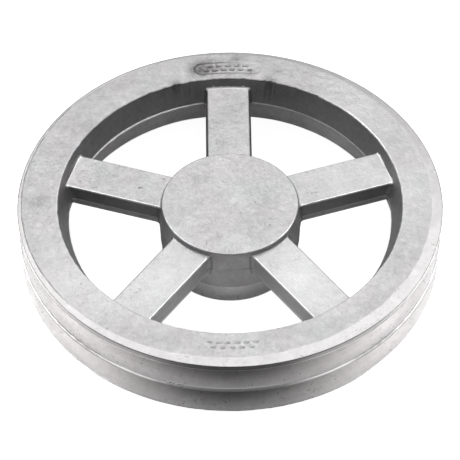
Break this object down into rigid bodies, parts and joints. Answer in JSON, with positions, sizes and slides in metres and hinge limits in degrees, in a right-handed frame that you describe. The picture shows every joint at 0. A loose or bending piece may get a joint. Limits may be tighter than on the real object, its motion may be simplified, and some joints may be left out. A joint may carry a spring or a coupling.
{
  "type": "v belt pulley",
  "caption": "Cast aluminium V-belt pulley with belt grooves, flat radial spokes and a solid unbored hub, lying flat on its back face.",
  "frame": {"origin": "on the pulley's axis, in the plane of the back face it lies on", "axes": "+Z along the pulley's axis, out of the front face; +Y along spoke_1; +X to the right seen from the front with spoke_1 up"},
  "size_m": [0.25, 0.25, 0.044],
  "materials": {
    "cast_aluminium": "as-cast aluminium, matt grey with blotches, fine grain and small pits",
    "turned_aluminium": "turned aluminium, brighter, with fine circular tool marks"
  },
  "bodies": {
    "root": {"front_flange": "turned_aluminium", "centre_rib": "turned_aluminium", "back_flange": "turned_aluminium", "rim_barrel": "cast_aluminium", "hub": "cast_aluminium", "spoke_1": "cast_aluminium", "spoke_2": "cast_aluminium", "spoke_3": "cast_aluminium", "spoke_4": "cast_aluminium", "spoke_5": "cast_aluminium"}
  },
  "joints": []
}
